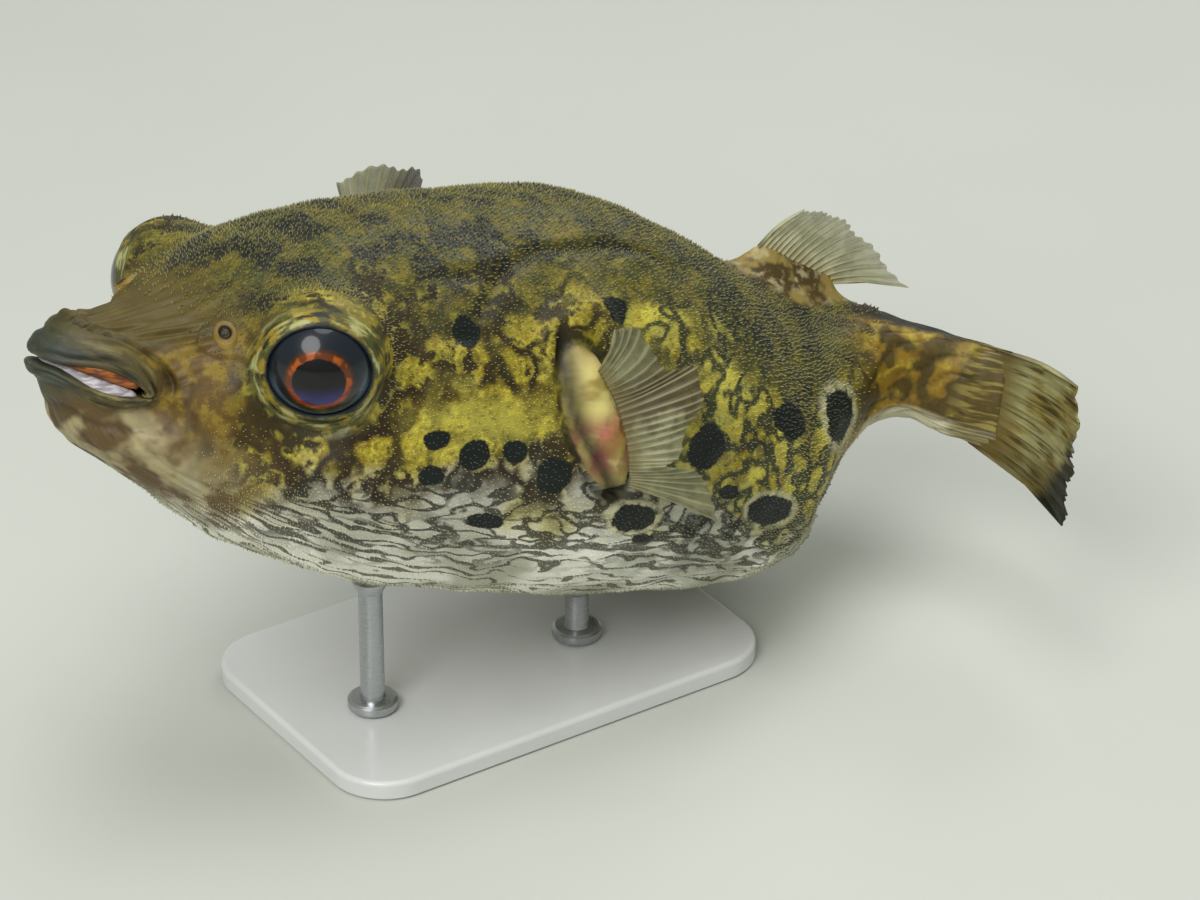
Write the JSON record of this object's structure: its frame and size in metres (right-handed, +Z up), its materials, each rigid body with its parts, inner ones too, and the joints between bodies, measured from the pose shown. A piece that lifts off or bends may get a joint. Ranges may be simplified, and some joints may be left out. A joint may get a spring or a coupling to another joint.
{
  "type": "freshwater pufferfish model",
  "caption": "Life-size still model of a live freshwater humpback pufferfish, hovering nose-up with its tail swung to its left, on a plain display stand.",
  "frame": {"origin": "centre of the underside of the stand's base", "axes": "+X from the snout towards the tail, -Y the fish's left side, +Z up"},
  "size_m": [0.1224, 0.0713, 0.0661],
  "materials": {
    "skin": "satin prickly skin, olive to gold above and white with dark lines below",
    "lips": "smooth wet olive skin",
    "beak": "smooth tooth plate, stained above",
    "eye": "clear glossy eye, black pupil in a red-orange ring",
    "fin_flesh": "smooth cream to yellow flesh at the fins' feet",
    "fin": "thin rayed membrane, grey-green and half clear in life",
    "stand": "plain pale acrylic sheet with polished edges",
    "rod": "thin brushed steel rod"
  },
  "bodies": {
    "root": {"head": "skin", "trunk": "skin", "tail_stem": "skin", "lip_upper": "lips", "lip_lower": "lips", "beak_upper": "beak", "beak_lower": "beak", "eye_left": "eye", "eye_right": "eye", "nostril_left": "lips", "nostril_right": "lips", "pectoral_foot_left": "fin_flesh", "pectoral_foot_right": "fin_flesh", "pectoral_fin_left": "fin", "pectoral_fin_right": "fin", "dorsal_foot": "fin_flesh", "dorsal_fin": "fin", "anal_foot": "fin_flesh", "anal_fin": "fin", "tail_fin": "fin", "stand_base": "stand", "stand_rod_front": "rod", "stand_rod_rear": "rod"}
  },
  "joints": []
}
